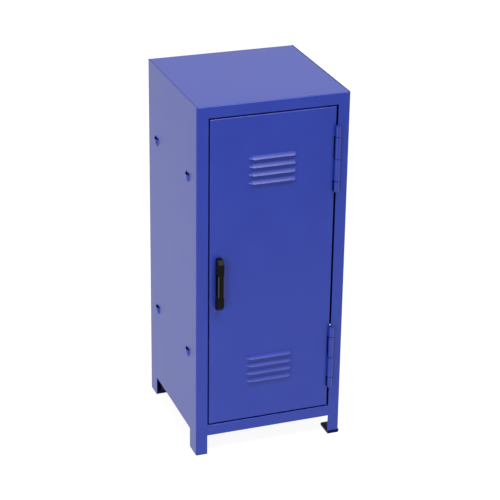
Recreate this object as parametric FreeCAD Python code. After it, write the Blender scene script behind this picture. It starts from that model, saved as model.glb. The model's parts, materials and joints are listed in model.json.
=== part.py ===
import FreeCAD, Part
import math
import os

# A small single-door sheet steel locker on four legs.
# Millimetres. +X is to the right, +Y to the back, +Z up. The floor is at zero height.

# Carcass
cabinet_width = 300.0
cabinet_depth = 300.0
cabinet_height = 720.0
sheet = 0.8
bend_radius = 2.5
leg_width = 23.2
leg_depth = 39.0
underside_height = 41.0
leg_corner_radius = 3.0
top_rail_height = 22.5
bottom_rail_height = 22.0
seam_gap = 0.1
fit_gap = 0.3

# Shelves and the pressed pockets that carry them
pocket_inset = 52.0
upper_pocket_below_top = 149.0
lower_pocket_height = 207.0
pocket_width = 24.0
pocket_drop = 10.0
pocket_rise = 4.0
shelf_side_gap = 0.7
shelf_depth = 15.0
shelf_above_pocket = 6.0
shelf_front_gap = 4.0
shelf_back_gap = 1.0
lug_width = 10.0
lug_reach = 1.3

# Door
door_gap = 3.0
door_depth = 18.0
door_lip = 12.0
louver_count = 4
louver_pitch = 16.3
louver_width = 98.0
louver_drop = 9.0
louver_rise = 5.5
upper_louver_offset = 204.5
lower_louver_offset = 209.0

# Hinges
upper_hinge_offset = 211.5
lower_hinge_offset = 204.5
hinge_length = 132.5
hinge_leaf = 1.0
barrel_radius = 5.0
barrel_standoff = 0.4
pin_radius = 2.5
pin_clearance = 0.05
knuckle_shares = (1, 2, 2, 1)
knuckle_gap = 0.4
frame_leaf_width = 20.0
door_leaf_start = 8.0
notch_width = 4.2
notch_depth = 6.0
notch_margin = 1.0

# Handle
handle_length = 105.0
handle_spacing = 96.0
handle_width = 12.0
handle_reach = 18.0
handle_chamfer = 9.0
handle_bend = 3.5
handle_edge = 1.4
handle_inset = 17.7
handle_below_middle = 14.0
handle_bore_depth = 8.0
groove_length = 44.0
groove_start = 3.5
groove_height = 8.0
groove_depth = 3.5
groove_round = 3.0

# Screws and rivets
shank_sides = 8
screw_radius = 1.6
screw_clearance = 0.05
screw_hole_radius = 1.9
screw_head_radius = 3.2
screw_crown_radius = 2.3
screw_head_height = 2.2
rivet_radius = 1.6
rivet_clearance = 0.05
rivet_head_radius = 3.2
rivet_crown_radius = 2.3
rivet_head_height = 1.1
rivet_tail = 2.0
rivets_per_side = 3
rivet_end_margin = 50.0

# Magnetic catch
catch_height = 48.0
catch_width = 16.0
catch_depth = 16.0
catch_setback = 1.0
catch_bracket_tail = 2.0
catch_screw_spacing = 38.0
catch_pocket_depth = 10.0
catch_edge = 1.2
screw_tail = 3.0
magnet_height = 25.6
magnet_thickness = 5.0
magnet_recess = 1.5
pole_thickness = 1.2
pole_gap = 0.3
magnet_slack = 0.1

# Feet: the left legs hide theirs down to a thin sole, the right legs stand in taller and wider ones
foot_height = 6.0
foot_length = 36.0
left_sole = 0.8
right_sole = 4.0
right_foot_proud = 1.6
foot_slot_gap = 0.1
foot_edge = 1.2

# Places worked out from the sizes above
half_width = cabinet_width / 2
overall_depth = cabinet_depth + handle_reach
front = handle_reach - overall_depth / 2
back = overall_depth / 2
top = cabinet_height
leg_middle = half_width - leg_width / 2
opening_half = half_width - leg_width
floor_top = underside_height + bottom_rail_height
door_half = opening_half - door_gap
door_bottom = floor_top + door_gap
door_top = top - top_rail_height - door_gap
door_middle = (door_bottom + door_top) / 2
door_back = front + door_depth
hinge_x = door_half + door_gap / 2
hinge_y = front - barrel_radius - barrel_standoff
upper_hinge_middle = door_middle + upper_hinge_offset
lower_hinge_middle = door_middle - lower_hinge_offset
handle_x = handle_inset - door_half
handle_middle = door_middle - handle_below_middle
pocket_heights = {"upper": top - upper_pocket_below_top, "lower": lower_pocket_height}
pocket_places = (front + pocket_inset, back - pocket_inset)
side_inner = half_width - sheet

# How far a cut runs past what it cuts, and how close two equal sizes are
overcut = 5.0
tolerance = 1e-6

# Directions for turning pieces made flat
X = FreeCAD.Vector(1, 0, 0)
Y = FreeCAD.Vector(0, 1, 0)
Z = FreeCAD.Vector(0, 0, 1)


def point(x, y, z):
    return FreeCAD.Vector(x, y, z)


def block(x, y, z):
    """A box from three (low, high) pairs."""
    size = (x[1] - x[0], y[1] - y[0], z[1] - z[0])
    return Part.makeBox(*size, point(x[0], y[0], z[0]))


def around(middle, length):
    """The (low, high) pair of a length centred on a middle."""
    return (middle - length / 2, middle + length / 2)


def rod(radius, length, start, direction):
    return Part.makeCylinder(radius, length, start, direction)


def shank(radius, length, start, direction):
    """A rod of few flat sides, for the hidden shanks of small fasteners and the holes they fill."""
    turn = FreeCAD.Rotation(Z, direction)
    angles = [2 * math.pi * count / shank_sides for count in range(shank_sides)]
    ring = [start + turn.multVec(radius * point(math.cos(a), math.sin(a), 0)) for a in angles]
    return Part.Face(Part.makePolygon(ring + ring[:1])).extrude(length * direction)


def soften(solid, radius, wanted):
    """Round the edges whose middle point is wanted."""
    edges = [edge for edge in solid.Edges if wanted(edge.CenterOfMass, edge)]
    return solid.makeFillet(radius, edges)


def trim(solid, size, wanted):
    """Chamfer the edges whose middle point is wanted."""
    edges = [edge for edge in solid.Edges if wanted(edge.CenterOfMass, edge)]
    return solid.makeChamfer(size, edges)


def near(a, b):
    return abs(a - b) < tolerance


def along(edge, direction):
    """True where a straight edge runs along a direction."""
    if not isinstance(edge.Curve, Part.Line):
        return False
    return near(abs(edge.Curve.Direction.dot(direction)), 1)


def placed(shape, x_axis, y_axis, z_axis, origin):
    """A copy of a shape made flat, turned to three directions and moved to a place."""
    copy = shape.copy()
    copy.Placement = FreeCAD.Placement(origin, FreeCAD.Rotation(x_axis, y_axis, z_axis, "ZXY"))
    return copy


def mirrored(shape):
    """The same shape on the other side of the cabinet."""
    return shape.mirror(point(0, 0, 0), X)


def tray(width, length, depth):
    """A folded tray: its sheet faces up at zero height and its four flanges hang down."""

    def upper(middle, edge):
        return not along(edge, Z) and middle.z > -depth / 2

    outside = block(around(0, width), around(0, length), (-depth, 0))
    outside = soften(outside, bend_radius, upper)
    inner_width = width - 2 * sheet
    inner_length = length - 2 * sheet
    inside = block(around(0, inner_width), around(0, inner_length), (-depth - overcut, -sheet))
    inside = soften(inside, bend_radius - sheet, upper)
    return outside.cut(inside)


def hood_form(drop, rise, offset):
    """The slope of a hood's ramp, and the height of its lip inside an offset."""
    slope = rise / drop
    return slope, rise - offset * math.hypot(1, slope)


def hood_solid(width, drop, rise, offset):
    """A pressed hood with a straight ramp and round ends, inside an offset.
    Its lip is at y = 0 and the sheet's face at z = 0."""
    slope, height = hood_form(drop, rise, offset)
    below = sheet + offset
    reach = (height + below) / slope
    half = width / 2 - drop

    def section(direction):
        foot = point(half, 0, -below)
        corners = [foot, foot + reach * direction, point(half, 0, height)]
        return Part.Face(Part.makePolygon(corners + corners[:1]))

    ramp = section(Y).extrude(-2 * half * X)
    end = section(X).revolve(point(half, 0, 0), Z, 90)
    return ramp.fuse([end, mirrored(end)]).removeSplitter()


def press_hood(panel, width, drop, rise, turn, places):
    """Press the same hood into a panel at several places. Turn gives its three directions."""
    skin = hood_solid(width, drop, rise, 0.0)
    hollow = hood_solid(width, drop, rise, sheet)
    for place in places:
        panel = panel.fuse(placed(skin, *turn, place))
        panel = panel.cut(placed(hollow, *turn, place))
    return panel.removeSplitter()


def make_side_panel(leg_bottom):
    """The left side: stile, side and rear flange from one bent sheet, cut away between its legs."""

    def bend_line(middle, edge):
        return along(edge, Z) and middle.x < -leg_middle

    height = (leg_bottom, top)
    outside = block((-half_width, -opening_half), (front, back), height)
    outside = soften(outside, bend_radius, bend_line)
    inside = block((-side_inner, 0), (front + sheet, back - sheet), (-overcut, top + overcut))
    inside = soften(inside, bend_radius - sheet, bend_line)
    panel = outside.cut(inside)
    # The stile and the rear flange stop short under the bends of the top
    across = (-half_width + bend_radius, 0)
    level = (top - bend_radius - seam_gap, top + overcut)
    panel = panel.cut(block(across, (front - overcut, back + overcut), level))

    def upper_corner(middle, edge):
        return along(edge, X) and near(middle.z, underside_height)

    between_legs = (front + leg_depth, back - leg_depth)
    across = (-half_width - overcut, -half_width + overcut)
    opening = block(across, between_legs, (-overcut, underside_height))
    panel = panel.cut(soften(opening, leg_corner_radius, upper_corner))
    places = [point(-half_width, y, z) for y in pocket_places for z in pocket_heights.values()]
    turn = (Y, -Z, -X)
    panel = press_hood(panel, pocket_width, pocket_drop, pocket_rise, turn, places)
    return panel.cut(Part.makeCompound(rivet_holes()))


def make_rail_tray(height, depth, stile_top):
    """The top or the bottom: a tray between the sides whose front flange is a rail of the frame.
    It is cut away where the stiles stand in front of it, up to a height and with a seam beside them,
    and round the side bends."""
    panel = tray(2 * side_inner, cabinet_depth, depth)
    panel = placed(panel, X, Y, Z, point(0, (front + back) / 2, height))
    stile = (opening_half - seam_gap, sheet + seam_gap, stile_top)
    bend = (half_width - bend_radius - fit_gap, bend_radius + fit_gap, height + overcut)
    for start, reach, high in (stile, bend):
        for y in ((front, front + reach), (back - reach, back)):
            corner = block((start, half_width), y, (height - depth - overcut, high))
            panel = panel.cut(Part.makeCompound([corner, mirrored(corner)]))
    return panel


def rivet_places():
    """Where the rivets go through the rear flanges, as (x, z)."""
    low = floor_top + rivet_end_margin
    high = top - top_rail_height - rivet_end_margin
    step = (high - low) / (rivets_per_side - 1)
    heights = [low + step * count for count in range(rivets_per_side)]
    return [(side * leg_middle, height) for side in (-1, 1) for height in heights]


def rivet_holes():
    radius = rivet_radius + rivet_clearance
    start = back - overcut
    return [shank(radius, 2 * overcut, point(x, start, z), Y) for x, z in rivet_places()]


def make_back_panel():
    width = 2 * (half_width - bend_radius - fit_gap)
    height = (floor_top + fit_gap, top - bend_radius - fit_gap)
    panel = block(around(0, width), (back - 2 * sheet, back - sheet), height)
    return panel.cut(Part.makeCompound(rivet_holes()))


def make_back_rivets():
    """Rivets: a conical head behind the rear flange and a tail inside the cabinet."""
    rivets = []
    for x, z in rivet_places():
        seat = point(x, back, z)
        head = Part.makeCone(rivet_head_radius, rivet_crown_radius, rivet_head_height, seat, Y)
        tail = shank(rivet_radius, 2 * sheet + rivet_tail, seat, -Y)
        rivets.append(head.fuse(tail).removeSplitter())
    return Part.makeCompound(rivets)


def make_shelf(pocket_height):
    """A folded shelf. Its four lugs reach out into the pockets and rest in them."""
    y_low = door_back + shelf_front_gap
    y_high = back - 2 * sheet - rivet_tail - shelf_back_gap
    half = side_inner - shelf_side_gap
    shelf = tray(2 * half, y_high - y_low, shelf_depth)
    shelf_top = pocket_height + shelf_above_pocket
    shelf = placed(shelf, X, Y, Z, point(0, (y_low + y_high) / 2, shelf_top))
    # The lug's corners end where the round ends of the pocket's inner face come in to meet them
    slope, height = hood_form(pocket_drop, pocket_rise, sheet)
    inside = (height - lug_reach) / slope
    past_flat = (lug_width - pocket_width) / 2 + pocket_drop
    seat = math.sqrt(inside**2 - past_flat**2) - fit_gap
    tip = half_width + lug_reach
    for y in pocket_places:
        across = around(y, lug_width)
        web_top = pocket_height - fit_gap
        web = block((-tip, -half + sheet), across, (web_top - sheet, web_top))
        tongue = block((-tip, -tip + sheet), across, (pocket_height - seat, web_top))
        lug = web.fuse(tongue)
        shelf = shelf.fuse([lug, mirrored(lug)])
    return shelf.removeSplitter()


def knuckle_spans(middle, owner):
    """Heights of one leaf's knuckles. From the top they run door, frame, door, frame."""
    share = hinge_length / sum(knuckle_shares)
    high = middle + hinge_length / 2
    spans = []
    for count in knuckle_shares:
        low = high - count * share
        spans.append((low + knuckle_gap / 2, high - knuckle_gap / 2))
        high = low
    return spans[0::2] if owner == "door" else spans[1::2]


def make_louvers(door):
    middles = (door_middle + upper_louver_offset, door_middle - lower_louver_offset)
    steps = [(count - (louver_count - 1) / 2) * louver_pitch for count in range(louver_count)]
    places = [point(0, front, middle + step) for middle in middles for step in steps]
    turn = (X, Z, -Y)
    return press_hood(door, louver_width, louver_drop, louver_rise, turn, places)


def make_door():
    """The door pan, with a lip behind its free edge for the catch."""
    width = 2 * door_half
    door = tray(width, door_top - door_bottom, door_depth)
    door = placed(door, X, Z, -Y, point(0, front, door_middle))
    across = (sheet / 2 - door_half, door_lip - door_half)
    height = (door_bottom + sheet / 2, door_top - sheet / 2)
    lip = block(across, (door_back - sheet, door_back), height)
    door = make_louvers(door.fuse(lip))
    cuts = []
    for middle in (upper_hinge_middle, lower_hinge_middle):
        for low, high in knuckle_spans(middle, "frame"):
            across = (door_half - notch_width, door_half + overcut)
            level = (low - notch_margin, high + notch_margin)
            cuts.append(block(across, (front - overcut, front + notch_depth), level))
    for z in around(handle_middle, handle_spacing):
        cuts.append(shank(screw_hole_radius, 2 * overcut, point(handle_x, front - overcut, z), Y))
    return door.cut(Part.makeCompound(cuts)).removeSplitter()


def make_hinge_leaf(middle, owner):
    """A leaf with two rolled knuckles, welded behind the stile or to the door's edge."""
    if owner == "frame":
        neck_x = (opening_half - hinge_leaf, opening_half)
        plate_x = (neck_x[0], neck_x[0] + frame_leaf_width)
        plate_y = (front + sheet, front + sheet + hinge_leaf)
    else:
        neck_x = (door_half, door_half + hinge_leaf)
        plate_x = neck_x
        plate_y = (front + door_leaf_start, door_back)
    leaf = block(plate_x, plate_y, around(middle, hinge_length))
    for low, high in knuckle_spans(middle, owner):
        barrel = rod(barrel_radius, high - low, point(hinge_x, hinge_y, low), Z)
        neck = block(neck_x, (hinge_y, plate_y[1]), (low, high))
        leaf = leaf.fuse([barrel, neck])
    bore_start = point(hinge_x, hinge_y, middle - hinge_length)
    bore = rod(pin_radius + pin_clearance, 2 * hinge_length, bore_start, Z)
    return leaf.cut(bore).removeSplitter()


def make_hinge_pin(middle):
    return rod(pin_radius, hinge_length, point(hinge_x, hinge_y, middle - hinge_length / 2), Z)


def make_handle():
    """A solid pull with chamfered shoulders and a finger groove along each side."""
    half = handle_length / 2
    outline = [(half, 0), (half, handle_reach - handle_chamfer), (half - handle_chamfer, handle_reach)]
    outline += [(-z, y) for z, y in reversed(outline)]
    corners = [point(0, -y, z) for z, y in outline]
    pull = Part.Face(Part.makePolygon(corners + corners[:1])).extrude(handle_width * X)

    def bend_line(middle, edge):
        return along(edge, X) and not near(middle.y, 0)

    def rim(middle, edge):
        return not along(edge, X) and not near(middle.y, 0)

    pull = soften(pull, handle_bend, bend_line)
    pull = trim(pull, handle_edge, rim)
    pull.translate(point(handle_x - handle_width / 2, front, handle_middle))
    floor = handle_width / 2 - groove_depth
    low = front - groove_start
    height = around(handle_middle, groove_length)
    groove = block((floor, floor + groove_depth + overcut), (low - groove_height, low), height)
    groove = soften(groove, groove_round, lambda middle, edge: along(edge, X))
    grooves = [groove, mirrored(groove)]
    for cut in grooves:
        cut.translate(handle_x * X)
    radius = screw_radius + screw_clearance
    ends = around(handle_middle, handle_spacing)
    bores = [shank(radius, handle_bore_depth, point(handle_x, front, z), -Y) for z in ends]
    return pull.cut(Part.makeCompound(grooves + bores))


def screw(head_seat, direction, length):
    """A pan-head screw whose head stands against the given direction from its seat."""
    head = Part.makeCone(screw_head_radius, screw_crown_radius, screw_head_height, head_seat, -direction)
    return head.fuse(shank(screw_radius, length, head_seat, direction)).removeSplitter()


def make_handle_screws():
    seat = front + sheet
    length = sheet + handle_bore_depth - fit_gap
    ends = around(handle_middle, handle_spacing)
    return Part.makeCompound([screw(point(handle_x, seat, z), -Y, length) for z in ends])


# The catch stands behind the left stile, level with the handle, and pulls on the lip of the door.
catch_leg_x = -opening_half - catch_setback
catch_front = door_back + pole_gap + magnet_recess
catch_back = catch_front + catch_depth
catch_x = (catch_leg_x, catch_leg_x + catch_width)
catch_middle_x = sum(catch_x) / 2
catch_middle_y = (catch_front + catch_back) / 2
catch_screw_heights = around(handle_middle, catch_screw_spacing)


def catch_screw_holes():
    radius = screw_radius + screw_clearance
    start = catch_leg_x - overcut
    length = catch_width + 2 * overcut
    return [shank(radius, length, point(start, catch_middle_y, z), X) for z in catch_screw_heights]


def make_catch_bracket():
    """An angle welded behind the stile. Its leg reaches back beside the catch."""
    height = around(handle_middle, catch_height + 2 * catch_bracket_tail)
    across = (-half_width + bend_radius + fit_gap, catch_leg_x)
    weld = block(across, (front + sheet, front + 2 * sheet), height)
    leg = block((catch_leg_x - sheet, catch_leg_x), (front + sheet, catch_back), height)
    return weld.fuse(leg).cut(Part.makeCompound(catch_screw_holes())).removeSplitter()


def make_catch_housing():
    height = around(handle_middle, catch_height)
    housing = block(catch_x, (catch_front, catch_back), height)

    def outer_corner(middle, edge):
        return along(edge, Z) and middle.x > catch_middle_x

    housing = soften(housing, catch_edge, outer_corner)
    pocket_x = around(catch_middle_x, magnet_thickness + 2 * pole_thickness + 2 * magnet_slack)
    pocket_z = around(handle_middle, magnet_height + 2 * magnet_slack)
    pocket = block(pocket_x, (catch_front - overcut, catch_front + catch_pocket_depth), pocket_z)
    return housing.cut([pocket] + catch_screw_holes())


def make_catch_magnet():
    depth = (catch_front, catch_front + catch_pocket_depth)
    height = around(handle_middle, magnet_height)
    return block(around(catch_middle_x, magnet_thickness), depth, height)


def make_catch_poles():
    """Two steel plates that carry the magnet's pull to the door."""
    depth = (door_back + pole_gap, catch_front + catch_pocket_depth)
    height = around(handle_middle, magnet_height)
    outer = magnet_thickness / 2
    pole = block((catch_middle_x + outer, catch_middle_x + outer + pole_thickness), depth, height)
    other = pole.copy()
    other.translate(point(-magnet_thickness - pole_thickness, 0, 0))
    return Part.makeCompound([pole, other])


def make_catch_screws():
    length = catch_width + sheet + screw_tail
    seats = [point(catch_x[1], catch_middle_y, z) for z in catch_screw_heights]
    return Part.makeCompound([screw(seat, -X, length) for seat in seats])


def make_foot(sole, proud):
    """The pad under the front left leg. The leg's edge stands in a slot, or a rebate, on its sole."""

    def bend_line(middle, edge):
        return along(edge, Z) and middle.x < -half_width + bend_radius and middle.y < front + bend_radius

    def upper(middle, edge):
        return near(middle.z, foot_height)

    x = (-half_width - proud, -opening_half)
    y = (front - proud, front + foot_length)
    pad = soften(block(x, y, (0, foot_height)), bend_radius + proud, bend_line)
    pad = trim(pad, foot_edge, upper)
    gap = foot_slot_gap
    level = (sole, foot_height + overcut)
    leg_x = (-half_width - gap, -opening_half + gap)
    leg_y = (front - gap, front + foot_length + gap)
    slot = soften(block(leg_x, leg_y, level), bend_radius + gap, bend_line)
    core_x = (-side_inner + gap, x[1] + overcut)
    core_y = (front + sheet + gap, y[1] + overcut)
    core = soften(block(core_x, core_y, level), bend_radius - sheet - gap, bend_line)
    return pad.cut(slot.cut(core))


def turned_to_back(shape):
    """The same shape at the back of the cabinet."""
    return shape.mirror(point(0, (front + back) / 2, 0), Y)


def make_parts():
    left_foot = make_foot(left_sole, 0)
    right_foot = mirrored(make_foot(right_sole, right_foot_proud))
    parts = {
        "left_side_panel": make_side_panel(left_sole),
        "right_side_panel": mirrored(make_side_panel(right_sole)),
        "top_panel": make_rail_tray(top, top_rail_height, top - bend_radius),
        "bottom_panel": make_rail_tray(floor_top, bottom_rail_height, top),
        "back_panel": make_back_panel(),
        "back_rivets": make_back_rivets(),
        "door_panel": make_door(),
        "door_handle": make_handle(),
        "handle_screws": make_handle_screws(),
        "catch_bracket": make_catch_bracket(),
        "catch_housing": make_catch_housing(),
        "catch_magnet": make_catch_magnet(),
        "catch_poles": make_catch_poles(),
        "catch_screws": make_catch_screws(),
        "foot_front_left": left_foot,
        "foot_front_right": right_foot,
        "foot_rear_left": turned_to_back(left_foot),
        "foot_rear_right": turned_to_back(right_foot),
    }
    for name, height in pocket_heights.items():
        parts[name + "_shelf"] = make_shelf(height)
    for name, middle in (("upper", upper_hinge_middle), ("lower", lower_hinge_middle)):
        parts[name + "_hinge_frame_leaf"] = make_hinge_leaf(middle, "frame")
        parts[name + "_hinge_door_leaf"] = make_hinge_leaf(middle, "door")
        parts[name + "_hinge_pin"] = make_hinge_pin(middle)
    return parts


os.makedirs("parts", exist_ok=True)
for name, shape in make_parts().items():
    shape.exportStep("parts/" + name + ".step")
    print(name, len(shape.Solids), round(shape.Volume, 1), shape.isValid())
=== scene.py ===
# %% [markdown]
# # A small steel locker
#
# The locker is folded from thin steel sheet: two sides that run down into legs, a top, a floor, a back and
# one door on two barrel hinges, all powder coated in one blue. The handle and the pads under the legs are
# moulded in black plastic. The working model comes in as a frame of separate solids, in metres, each at
# its real place. This lesson models the pieces that show as clean sheet-metal meshes over that frame, gives
# every surface its real finish, and sets a camera that looks at the locker from the front left and above.

# %% Load the working model
import json
import math

import bmesh
import bpy
from mathutils import Matrix, Vector


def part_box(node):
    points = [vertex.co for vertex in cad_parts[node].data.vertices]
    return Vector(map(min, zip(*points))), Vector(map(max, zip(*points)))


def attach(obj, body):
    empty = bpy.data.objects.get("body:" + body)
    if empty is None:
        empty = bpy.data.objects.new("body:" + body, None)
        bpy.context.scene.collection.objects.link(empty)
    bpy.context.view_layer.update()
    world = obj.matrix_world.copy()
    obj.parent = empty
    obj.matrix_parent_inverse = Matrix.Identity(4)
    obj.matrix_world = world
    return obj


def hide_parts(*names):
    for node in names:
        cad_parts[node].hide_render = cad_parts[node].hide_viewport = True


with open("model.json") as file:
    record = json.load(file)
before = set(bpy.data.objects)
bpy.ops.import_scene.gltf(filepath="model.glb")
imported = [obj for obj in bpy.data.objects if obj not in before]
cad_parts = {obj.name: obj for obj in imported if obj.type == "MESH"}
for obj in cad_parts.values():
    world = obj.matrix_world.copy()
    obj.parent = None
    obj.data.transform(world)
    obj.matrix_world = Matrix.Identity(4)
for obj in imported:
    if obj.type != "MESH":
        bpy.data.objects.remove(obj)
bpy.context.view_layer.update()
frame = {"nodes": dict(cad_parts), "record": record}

# %% [markdown]
# ## Sizes
#
# A dressed piece has to lie exactly where its solid is, because the solids are what touches and moves. So
# the main places are read from the boxes of the solids, and only the sizes that a box can't tell, such as a
# bend radius, are written here as real millimetres, beside the piece that first needs them.

# %% Read the main sizes
mm = 0.001
side_low, side_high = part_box("left_side_panel")
top_low, top_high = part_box("top_panel")
floor_low, floor_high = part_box("bottom_panel")
back_low, back_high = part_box("back_panel")
door_low, door_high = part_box("door_panel")

sheet = back_high.y - back_low.y
half_width = top_high.x + sheet
opening_half = -side_high.x
front, back, top = top_low.y, top_high.y, top_high.z
door_half = door_high.x
door_middle = (door_low.z + door_high.z) / 2
bodies = frame["record"]["behaviour"]["bodies"]
body_of_node = {node: body for body, nodes in bodies.items() for node in nodes}
cabinet_size = [round(length / mm) for length in (2 * half_width, back - front, top)]
print("cabinet", cabinet_size, "mm wide, deep and high")

# %% [markdown]
# ## Finishes
#
# Each finish is a small node tree named for its real material. Two helpers serve all of them: one turns the
# sRGB hex value that a designer would note down into the linear colour that the shader wants, and one adds a
# node, sets it up and links it. Patterns are laid out in Object coordinates, which are metres here, so a
# pattern of a given width in millimetres has a scale of one over that width.

# %% Helpers for the finishes
def linear(hex_colour):
    """The linear colour of an sRGB hex value, with full opacity."""
    shares = [int(hex_colour[place:place + 2], 16) / 255 for place in (1, 3, 5)]
    return [s / 12.92 if s <= 0.04045 else ((s + 0.055) / 1.055) ** 2.4 for s in shares] + [1.0]


def add_node(tree, kind, settings=None, inputs=None):
    """A node with its settings. An input takes a value, or the output socket that is linked to it."""
    made = tree.nodes.new(kind)
    for name, value in (settings or {}).items():
        setattr(made, name, value)
    for name, value in (inputs or {}).items():
        if isinstance(value, bpy.types.NodeSocket):
            tree.links.new(value, made.inputs[name])
        else:
            made.inputs[name].default_value = value
    return made


def new_finish(name):
    """An empty node material with its shader, its place coordinates and its output."""
    finish = bpy.data.materials.new(name)
    finish.use_nodes = True
    tree = finish.node_tree
    tree.nodes.clear()
    shader = add_node(tree, "ShaderNodeBsdfPrincipled")
    add_node(tree, "ShaderNodeOutputMaterial", inputs={"Surface": shader.outputs["BSDF"]})
    place = add_node(tree, "ShaderNodeTexCoord").outputs["Object"]
    return finish, tree, shader, place


# %% [markdown]
# ### Powder coat
#
# Polyester powder is sprayed dry on the folded steel and baked until it flows. It leaves a thick satin film
# with a faint orange peel, a rolling surface of about two millimetres, and a colour that clouds very
# slightly where the film is thicker. The peel is too fine to show at this distance, so it is drawn a little
# coarser and kept low. A satin coat shows its gloss mostly at a slant, which comes from the shader itself.

# %% Mix the blue powder coat
peel_width = 3 * mm
peel_height = 0.012 * mm
peel_strength = 0.6
cloud_width = 70 * mm
coat_smoothest, coat_roughest = 0.3, 0.36
coat_ior = 1.43

blue_coat, tree, shader, place = new_finish("blue_polyester_powder_coat")
cloud = add_node(tree, "ShaderNodeTexNoise", inputs={"Vector": place, "Scale": 1 / cloud_width, "Detail": 3})
tint = add_node(
    tree, "ShaderNodeMix", {"data_type": "RGBA"},
    {"Factor": cloud.outputs["Fac"], "A": linear("#1A2C86"), "B": linear("#203490")},
)
satin = add_node(
    tree, "ShaderNodeMapRange",
    inputs={"Value": cloud.outputs["Fac"], "To Min": coat_smoothest, "To Max": coat_roughest},
)
peel = add_node(tree, "ShaderNodeTexNoise", inputs={"Vector": place, "Scale": 1 / peel_width, "Detail": 2})
ripple = add_node(
    tree, "ShaderNodeBump",
    inputs={"Height": peel.outputs["Fac"], "Distance": peel_height, "Strength": peel_strength},
)
tree.links.new(tint.outputs["Result"], shader.inputs["Base Color"])
tree.links.new(satin.outputs["Result"], shader.inputs["Roughness"])
tree.links.new(ripple.outputs["Normal"], shader.inputs["Normal"])
shader.inputs["IOR"].default_value = coat_ior
print("mixed", blue_coat.name)

# %% [markdown]
# ### Moulded plastic
#
# The handle and the pads are injection moulded. The mould's walls are spark eroded, which prints a fine
# grain on the plastic, so that it looks matt black, with a soft grey sheen where a face is seen at a slant.
# The grain is finer than the picture can show, so it is drawn several times coarser. Where the two halves of
# the mould meet, its steel is polished, and the plastic comes out glossy there. The pads are a softer black
# polyethylene; the touch of blue in their colour is a painted reflection of the blue steel legs round them.

# %% Mix the black plastics
grain_width = 0.9 * mm
grain_height = 0.02 * mm


def mix_plastic(name, dark, light, smoothest, roughest, shine):
    """A grained plastic between two colours and two roughnesses, with its share of the usual shine."""
    plastic, tree, shader, place = new_finish(name)
    specks = add_node(
        tree, "ShaderNodeTexNoise", inputs={"Vector": place, "Scale": 1 / grain_width, "Detail": 4}
    )
    grain = specks.outputs["Fac"]
    shade = add_node(
        tree, "ShaderNodeMix", {"data_type": "RGBA"},
        {"Factor": grain, "A": linear(dark), "B": linear(light)},
    )
    matt = add_node(
        tree, "ShaderNodeMapRange", inputs={"Value": grain, "To Min": smoothest, "To Max": roughest}
    )
    relief = add_node(tree, "ShaderNodeBump", inputs={"Height": grain, "Distance": grain_height})
    tree.links.new(shade.outputs["Result"], shader.inputs["Base Color"])
    tree.links.new(matt.outputs["Result"], shader.inputs["Roughness"])
    tree.links.new(relief.outputs["Normal"], shader.inputs["Normal"])
    shader.inputs["Specular IOR Level"].default_value = shine
    return plastic


black_plastic = mix_plastic(
    "black_moulded_abs", "#070708", "#0C0C0D", smoothest=0.36, roughest=0.46, shine=0.08
)
glossy_plastic = mix_plastic(
    "black_polished_abs", "#070708", "#0C0C0D", smoothest=0.1, roughest=0.16, shine=0.8
)
# The pads' base colour carries a painted reflection: a touch of blue from the blue legs round them, mixed
# into the black.
pad_plastic_with_painted_reflection = mix_plastic(
    "black_polyethylene_painted_blue_reflection", "#08082A", "#0C0C32", smoothest=0.36, roughest=0.46, shine=0.06
)
print("mixed", black_plastic.name, glossy_plastic.name, pad_plastic_with_painted_reflection.name)

# %% [markdown]
# ### Small metals and the magnet
#
# The screws and the catch's pole plates are zinc plated: a bright, slightly blue metal whose crystals
# scatter the light in patches. The rivets are drawn aluminium, warmer and duller. The catch's magnet is
# sintered ferrite, a dark grey ceramic with a fine sandy break. One recipe serves all three, because each is
# a field of small patches, drawn coarser than real crystals to show at all. Metals keep the default index of
# refraction.

# %% Mix the small metals and the ferrite
def mix_mineral(name, dark, light, patch_width, smoothest, roughest, metallic):
    """A metal or ceramic whose colour and polish change from patch to patch."""
    mineral, tree, shader, place = new_finish(name)
    patch = add_node(tree, "ShaderNodeTexVoronoi", inputs={"Vector": place, "Scale": 1 / patch_width})
    crystal = patch.outputs["Distance"]
    shade = add_node(
        tree, "ShaderNodeMix", {"data_type": "RGBA"},
        {"Factor": crystal, "A": linear(dark), "B": linear(light)},
    )
    polish = add_node(
        tree, "ShaderNodeMapRange", inputs={"Value": crystal, "To Min": smoothest, "To Max": roughest}
    )
    tree.links.new(shade.outputs["Result"], shader.inputs["Base Color"])
    tree.links.new(polish.outputs["Result"], shader.inputs["Roughness"])
    shader.inputs["Metallic"].default_value = metallic
    return mineral


zinc = mix_mineral(
    "zinc_plated_steel", "#A9B0B8", "#C9CED4",
    patch_width=1.5 * mm, smoothest=0.25, roughest=0.4, metallic=1.0,
)
aluminium = mix_mineral(
    "drawn_aluminium", "#B9B8B4", "#CFCECA",
    patch_width=0.8 * mm, smoothest=0.35, roughest=0.5, metallic=1.0,
)
ferrite = mix_mineral(
    "sintered_ferrite", "#2A2A2C", "#3A3A3C",
    patch_width=0.6 * mm, smoothest=0.6, roughest=0.8, metallic=0.0,
)
print("mixed", zinc.name, aluminium.name, ferrite.name)

# %% [markdown]
# ## Tools of the bench
#
# The pieces are shaped as by hand: a cube or cylinder is added at its size and place, lines are scored
# through it, faces are cut away or drawn out, and edges are bevelled. The size and place of a primitive are
# applied at once, so that the piece's object stays at the origin and its place is in its mesh.

# %% Start a piece
def begin(name):
    """Name the primitive just added, keep its place in its mesh and open it for editing."""
    piece = bpy.context.active_object
    piece.name = name
    bpy.ops.object.transform_apply(location=True, rotation=True, scale=True)
    bpy.ops.object.mode_set(mode="EDIT")
    return piece


def add_block(name, low, high):
    """A cube drawn out between two corners."""
    bpy.ops.object.select_all(action="DESELECT")
    low, high = Vector(low), Vector(high)
    bpy.ops.mesh.primitive_cube_add(size=1, location=(low + high) / 2)
    bpy.context.active_object.scale = high - low
    return begin(name)


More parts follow.
